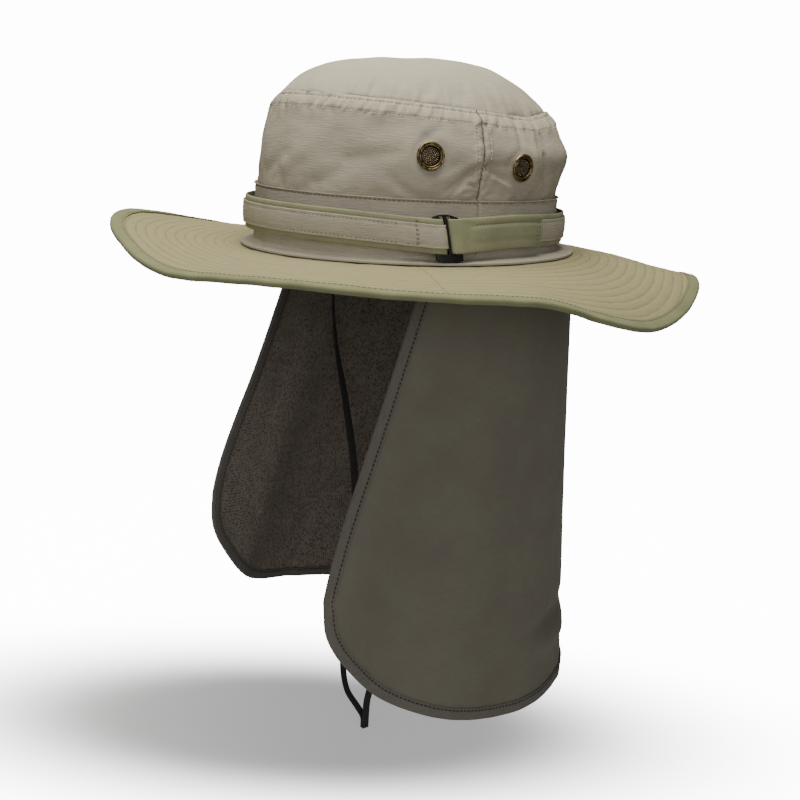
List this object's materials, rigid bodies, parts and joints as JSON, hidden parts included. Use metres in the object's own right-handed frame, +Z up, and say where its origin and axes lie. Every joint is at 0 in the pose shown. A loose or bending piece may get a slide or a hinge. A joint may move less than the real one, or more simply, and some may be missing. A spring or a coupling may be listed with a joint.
{
  "type": "flap sun hat",
  "caption": "Wide-brimmed cloth sun hat with a soft round crown, a buckled hat band, mesh vents, a long neck flap and a hanging chin strap.",
  "frame": {"origin": "the middle of the head opening, in the plane where the brim joins the crown, where a head holds the hat", "axes": "+Z up through the crown, -Y to the front of the hat, +X to the wearer's left"},
  "size_m": [0.3248, 0.3591, 0.4308],
  "materials": {
    "khaki_cloth": "matt woven nylon cloth, khaki",
    "olive_tape": "matt woven tape, olive green",
    "flap_cloth": "smooth woven cloth, dark brown olive, with a fine knitted mesh inside",
    "antique_brass": "antique brass, satin",
    "eyelet_mesh": "fine dark mesh",
    "buckle_plastic": "moulded black plastic, fine matt",
    "chin_tape": "matt woven tape, charcoal"
  },
  "bodies": {
    "root": {"top_panel": "khaki_cloth", "side_panel_front": "khaki_cloth", "side_panel_back": "khaki_cloth", "base_band": "khaki_cloth", "brim_front_half": "khaki_cloth", "brim_back_half": "khaki_cloth", "brim_binding": "olive_tape", "band_webbing": "olive_tape", "band_strip": "khaki_cloth", "band_buckle": "buckle_plastic", "eyelet_ring_1": "antique_brass", "eyelet_ring_2": "antique_brass", "eyelet_ring_3": "antique_brass", "eyelet_ring_4": "antique_brass", "eyelet_mesh_1": "eyelet_mesh", "eyelet_mesh_2": "eyelet_mesh", "eyelet_mesh_3": "eyelet_mesh", "eyelet_mesh_4": "eyelet_mesh", "neck_flap": "flap_cloth", "flap_binding": "flap_cloth", "chin_strap_left": "chin_tape", "chin_strap_right": "chin_tape"}
  },
  "joints": []
}
